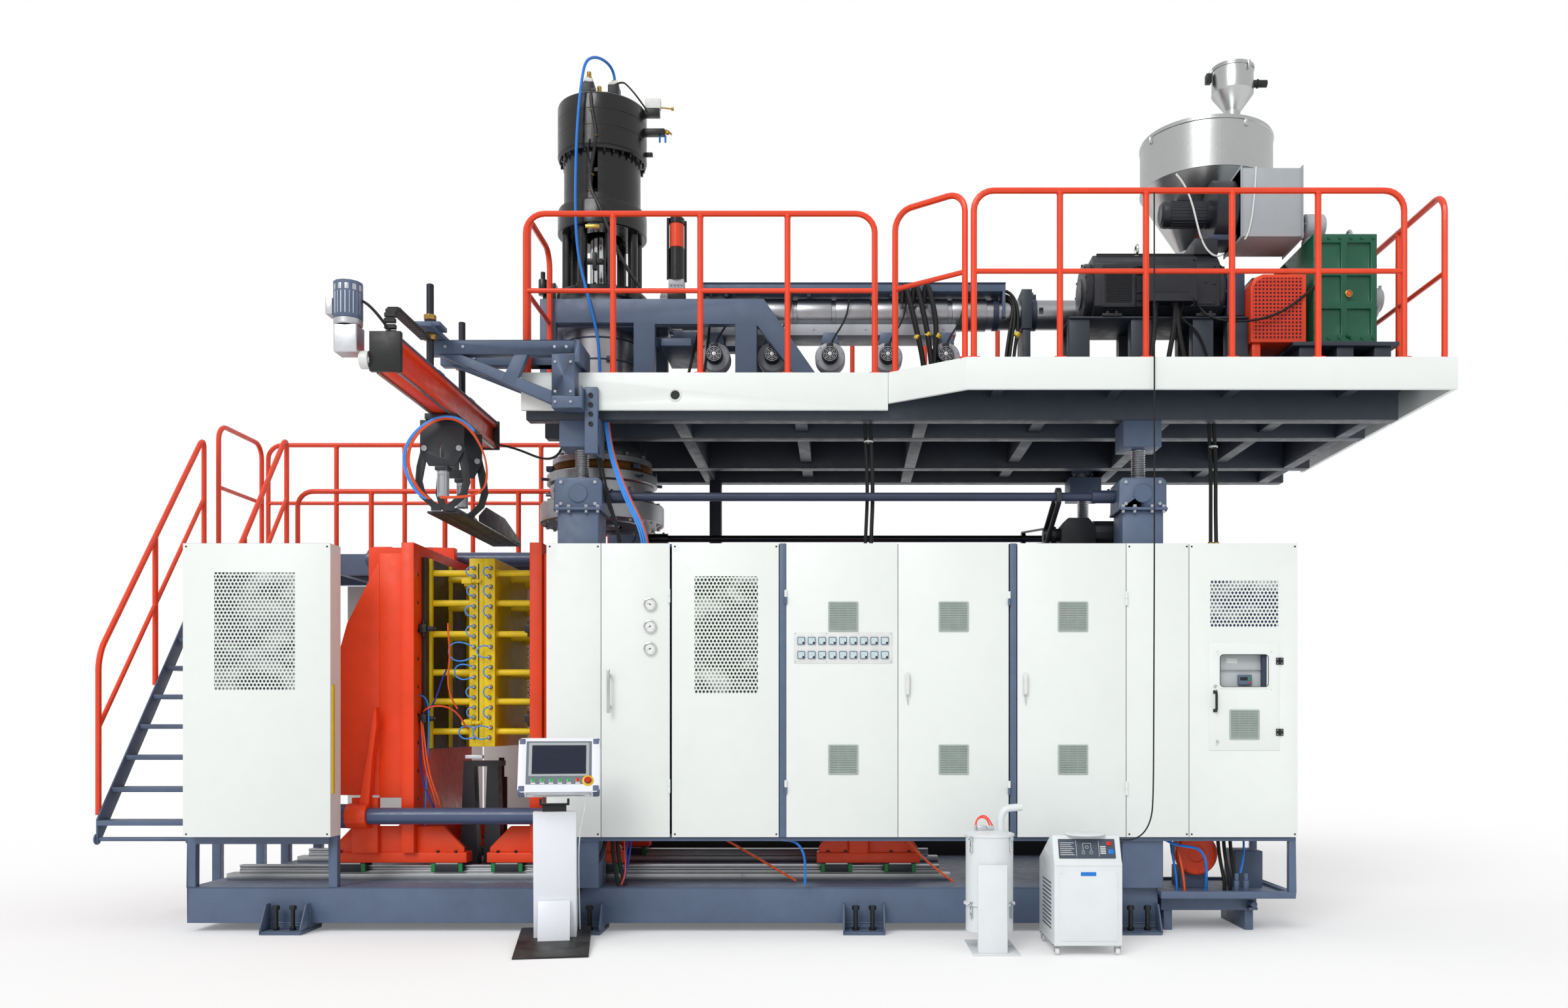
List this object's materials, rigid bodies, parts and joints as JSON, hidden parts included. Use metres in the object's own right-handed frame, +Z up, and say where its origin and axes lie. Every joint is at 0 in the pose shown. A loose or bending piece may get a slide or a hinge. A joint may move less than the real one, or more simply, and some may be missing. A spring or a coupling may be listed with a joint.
{
  "type": "extrusion blow moulding machine",
  "caption": "Large accumulator-head blow moulding machine with clamp, platform extruder, take-out robot, stair and cabinets.",
  "frame": {"origin": "on the floor under the middle of the whole machine", "axes": "+X along the machine from the stair end to the gearbox end, +Y from the operator's side to the back, +Z up"},
  "size_m": [9.455, 4.151, 6.622],
  "materials": {
    "grey_paint": "satin slate grey paint",
    "pale_paint": "satin off-white powder coat",
    "orange_paint": "semi-gloss orange-red paint",
    "yellow_paint": "semi-gloss yellow paint",
    "green_paint": "semi-gloss green paint",
    "dark_paint": "satin dark grey paint",
    "bright_steel": "machined steel",
    "stainless": "brushed stainless sheet",
    "black_steel": "blackened round bar",
    "chromed": "hard chrome",
    "black_rubber": "matte rubber",
    "blue_hose": "smooth air hose",
    "red_button": "moulded button",
    "pale_plastic": "moulded handle"
  },
  "bodies": {
    "base": {"access_rails": "orange_paint", "blow_unit": "dark_paint", "cabinet_shell": "grey_paint", "floor_frame": "grey_paint", "front_panels": "pale_paint", "guards": "pale_paint", "guide_rails": "bright_steel", "hydraulic_bay": "grey_paint", "jacks": "grey_paint", "lift_drive": "dark_paint", "loader": "grey_paint", "loader_cable": "black_rubber", "pendant_cable": "pale_plastic", "pendant_stand": "grey_paint", "stairs": "grey_paint"},
    "clamp_left": {"left_platen": "orange_paint", "tie_bars": "black_steel", "tail_platen": "orange_paint", "mould_left": "yellow_paint", "platen_hose": "blue_hose"},
    "clamp_right": {"right_platen": "orange_paint", "mould_right": "yellow_paint", "clamp_rod": "chromed"},
    "platform": {"platform_frame": "grey_paint", "platform_fascia": "pale_paint", "platform_rails": "orange_paint", "head_frame": "grey_paint", "accumulator_head": "bright_steel", "push_cylinder": "bright_steel", "extruder": "bright_steel", "hopper": "stainless", "main_motor": "dark_paint", "belt_guard": "orange_paint", "gearbox": "green_paint", "lift_screws": "bright_steel", "robot_arm": "grey_paint", "robot_beam": "orange_paint", "head_hose": "blue_hose", "cabinet_cable_left": "black_rubber", "cabinet_cable_right": "black_rubber"},
    "ram": {"ram": "chromed"},
    "die_core": {"die_core": "bright_steel"},
    "gripper_carriage": {"gripper_carriage": "dark_paint"},
    "jaw_left": {"jaw_left": "dark_paint"},
    "jaw_right": {"jaw_right": "dark_paint"},
    "lift_shaft_front": {"lift_shaft_front": "bright_steel"},
    "lift_shaft_rear": {"lift_shaft_rear": "bright_steel"},
    "gauge_door": {"gauge_door": "pale_paint"},
    "door_one": {"door_one": "pale_paint"},
    "door_two": {"door_two": "pale_paint"},
    "door_three": {"door_three": "pale_paint"},
    "inset_door": {"inset_door": "pale_paint"},
    "handle_two": {"handle_two": "dark_paint"},
    "handle_three": {"handle_three": "dark_paint"},
    "pendant_head": {"pendant_head": "grey_paint"},
    "stop_button": {"stop_button": "red_button"},
    "caster_wheel_1": {"caster_wheel_1": "black_rubber"},
    "caster_wheel_2": {"caster_wheel_2": "black_rubber"},
    "caster_wheel_3": {"caster_wheel_3": "black_rubber"},
    "caster_wheel_4": {"caster_wheel_4": "black_rubber"}
  },
  "joints": [
    {"name": "clamp_left", "type": "slide", "parent": "base", "child": "clamp_left", "axis": [-1, 0, 0], "range_m": [0, 0.42]},
    {"name": "clamp_right", "type": "slide", "parent": "base", "child": "clamp_right", "axis": [1, 0, 0], "range_m": [0, 0.42]},
    {"name": "platform_lift", "type": "slide", "parent": "base", "child": "platform", "axis": [0, 0, 1], "range_m": [0, 0.25]},
    {"name": "lift_shaft_front", "type": "hinge", "parent": "base", "child": "lift_shaft_front", "pos_m": [0.6665, -0.7045, 3.045], "axis": [1, 0, 0], "range_deg": [0, 360]},
    {"name": "lift_shaft_rear", "type": "hinge", "parent": "base", "child": "lift_shaft_rear", "pos_m": [0.6665, 1.3255, 3.045], "axis": [1, 0, 0], "range_deg": [0, 360]},
    {"name": "ram_stroke", "type": "slide", "parent": "platform", "child": "ram", "axis": [0, 0, -1], "range_m": [0, 0.4]},
    {"name": "die_gap", "type": "slide", "parent": "platform", "child": "die_core", "axis": [0, 0, -1], "range_m": [0, 0.03]},
    {"name": "gripper_travel", "type": "slide", "parent": "platform", "child": "gripper_carriage", "axis": [0, -1, 0], "range_m": [0, 0.9]},
    {"name": "jaw_left", "type": "hinge", "parent": "gripper_carriage", "child": "jaw_left", "pos_m": [-2.1935, -0.9045, 3.34], "axis": [0, 1, 0], "range_deg": [0, 25]},
    {"name": "jaw_right", "type": "hinge", "parent": "gripper_carriage", "child": "jaw_right", "pos_m": [-1.9535, -0.9045, 3.34], "axis": [0, -1, 0], "range_deg": [0, 25]},
    {"name": "gauge_door", "type": "hinge", "parent": "base", "child": "gauge_door", "pos_m": [-0.5105, -0.9045, 1.68], "axis": [0, 0, 1], "range_deg": [0, 110]},
    {"name": "door_one", "type": "hinge", "parent": "base", "child": "door_one", "pos_m": [0.2915, -0.9045, 1.68], "axis": [0, 0, -1], "range_deg": [0, 110]},
    {"name": "door_two", "type": "hinge", "parent": "base", "child": "door_two", "pos_m": [1.8195, -0.9045, 1.68], "axis": [0, 0, 1], "range_deg": [0, 44]},
    {"name": "door_three", "type": "hinge", "parent": "base", "child": "door_three", "pos_m": [2.6265, -0.9045, 1.68], "axis": [0, 0, 1], "range_deg": [0, 34]},
    {"name": "inset_door", "type": "hinge", "parent": "base", "child": "inset_door", "pos_m": [3.6825, -0.908, 1.635], "axis": [0, 0, 1], "range_deg": [0, 110]},
    {"name": "handle_two", "type": "hinge", "parent": "door_two", "child": "handle_two", "pos_m": [1.1245, -0.9245, 1.775], "axis": [0, -1, 0], "range_deg": [0, 90]},
    {"name": "handle_three", "type": "hinge", "parent": "door_three", "child": "handle_three", "pos_m": [1.9345, -0.9245, 1.775], "axis": [0, -1, 0], "range_deg": [0, 90]},
    {"name": "pendant_tilt", "type": "hinge", "parent": "base", "child": "pendant_head", "pos_m": [-1.1504, -1.44483, 1.08602], "axis": [0.9848, 0.1736, 0], "range_deg": [0, 5]},
    {"name": "stop_button", "type": "slide", "parent": "pendant_head", "child": "stop_button", "axis": [-0.1586, 0.8997, -0.4067], "range_m": [0, 0.004], "stiffness_N_per_m": 600},
    {"name": "caster_wheel_1", "type": "hinge", "parent": "base", "child": "caster_wheel_1", "pos_m": [2.0215, -1.6645, 0.024], "axis": [1, 0, 0], "continuous": true},
    {"name": "caster_wheel_2", "type": "hinge", "parent": "base", "child": "caster_wheel_2", "pos_m": [2.4015, -1.6645, 0.024], "axis": [1, 0, 0], "continuous": true},
    {"name": "caster_wheel_3", "type": "hinge", "parent": "base", "child": "caster_wheel_3", "pos_m": [2.0215, -1.1645, 0.024], "axis": [1, 0, 0], "continuous": true},
    {"name": "caster_wheel_4", "type": "hinge", "parent": "base", "child": "caster_wheel_4", "pos_m": [2.4015, -1.1645, 0.024], "axis": [1, 0, 0], "continuous": true}
  ],
  "couplings": [
    {"joint": "clamp_right", "follows": "clamp_left", "ratio": 1},
    {"joint": "lift_shaft_front", "follows": "platform_lift", "rad_per_m": 25},
    {"joint": "lift_shaft_rear", "follows": "platform_lift", "rad_per_m": 25},
    {"joint": "jaw_right", "follows": "jaw_left", "ratio": 1}
  ]
}
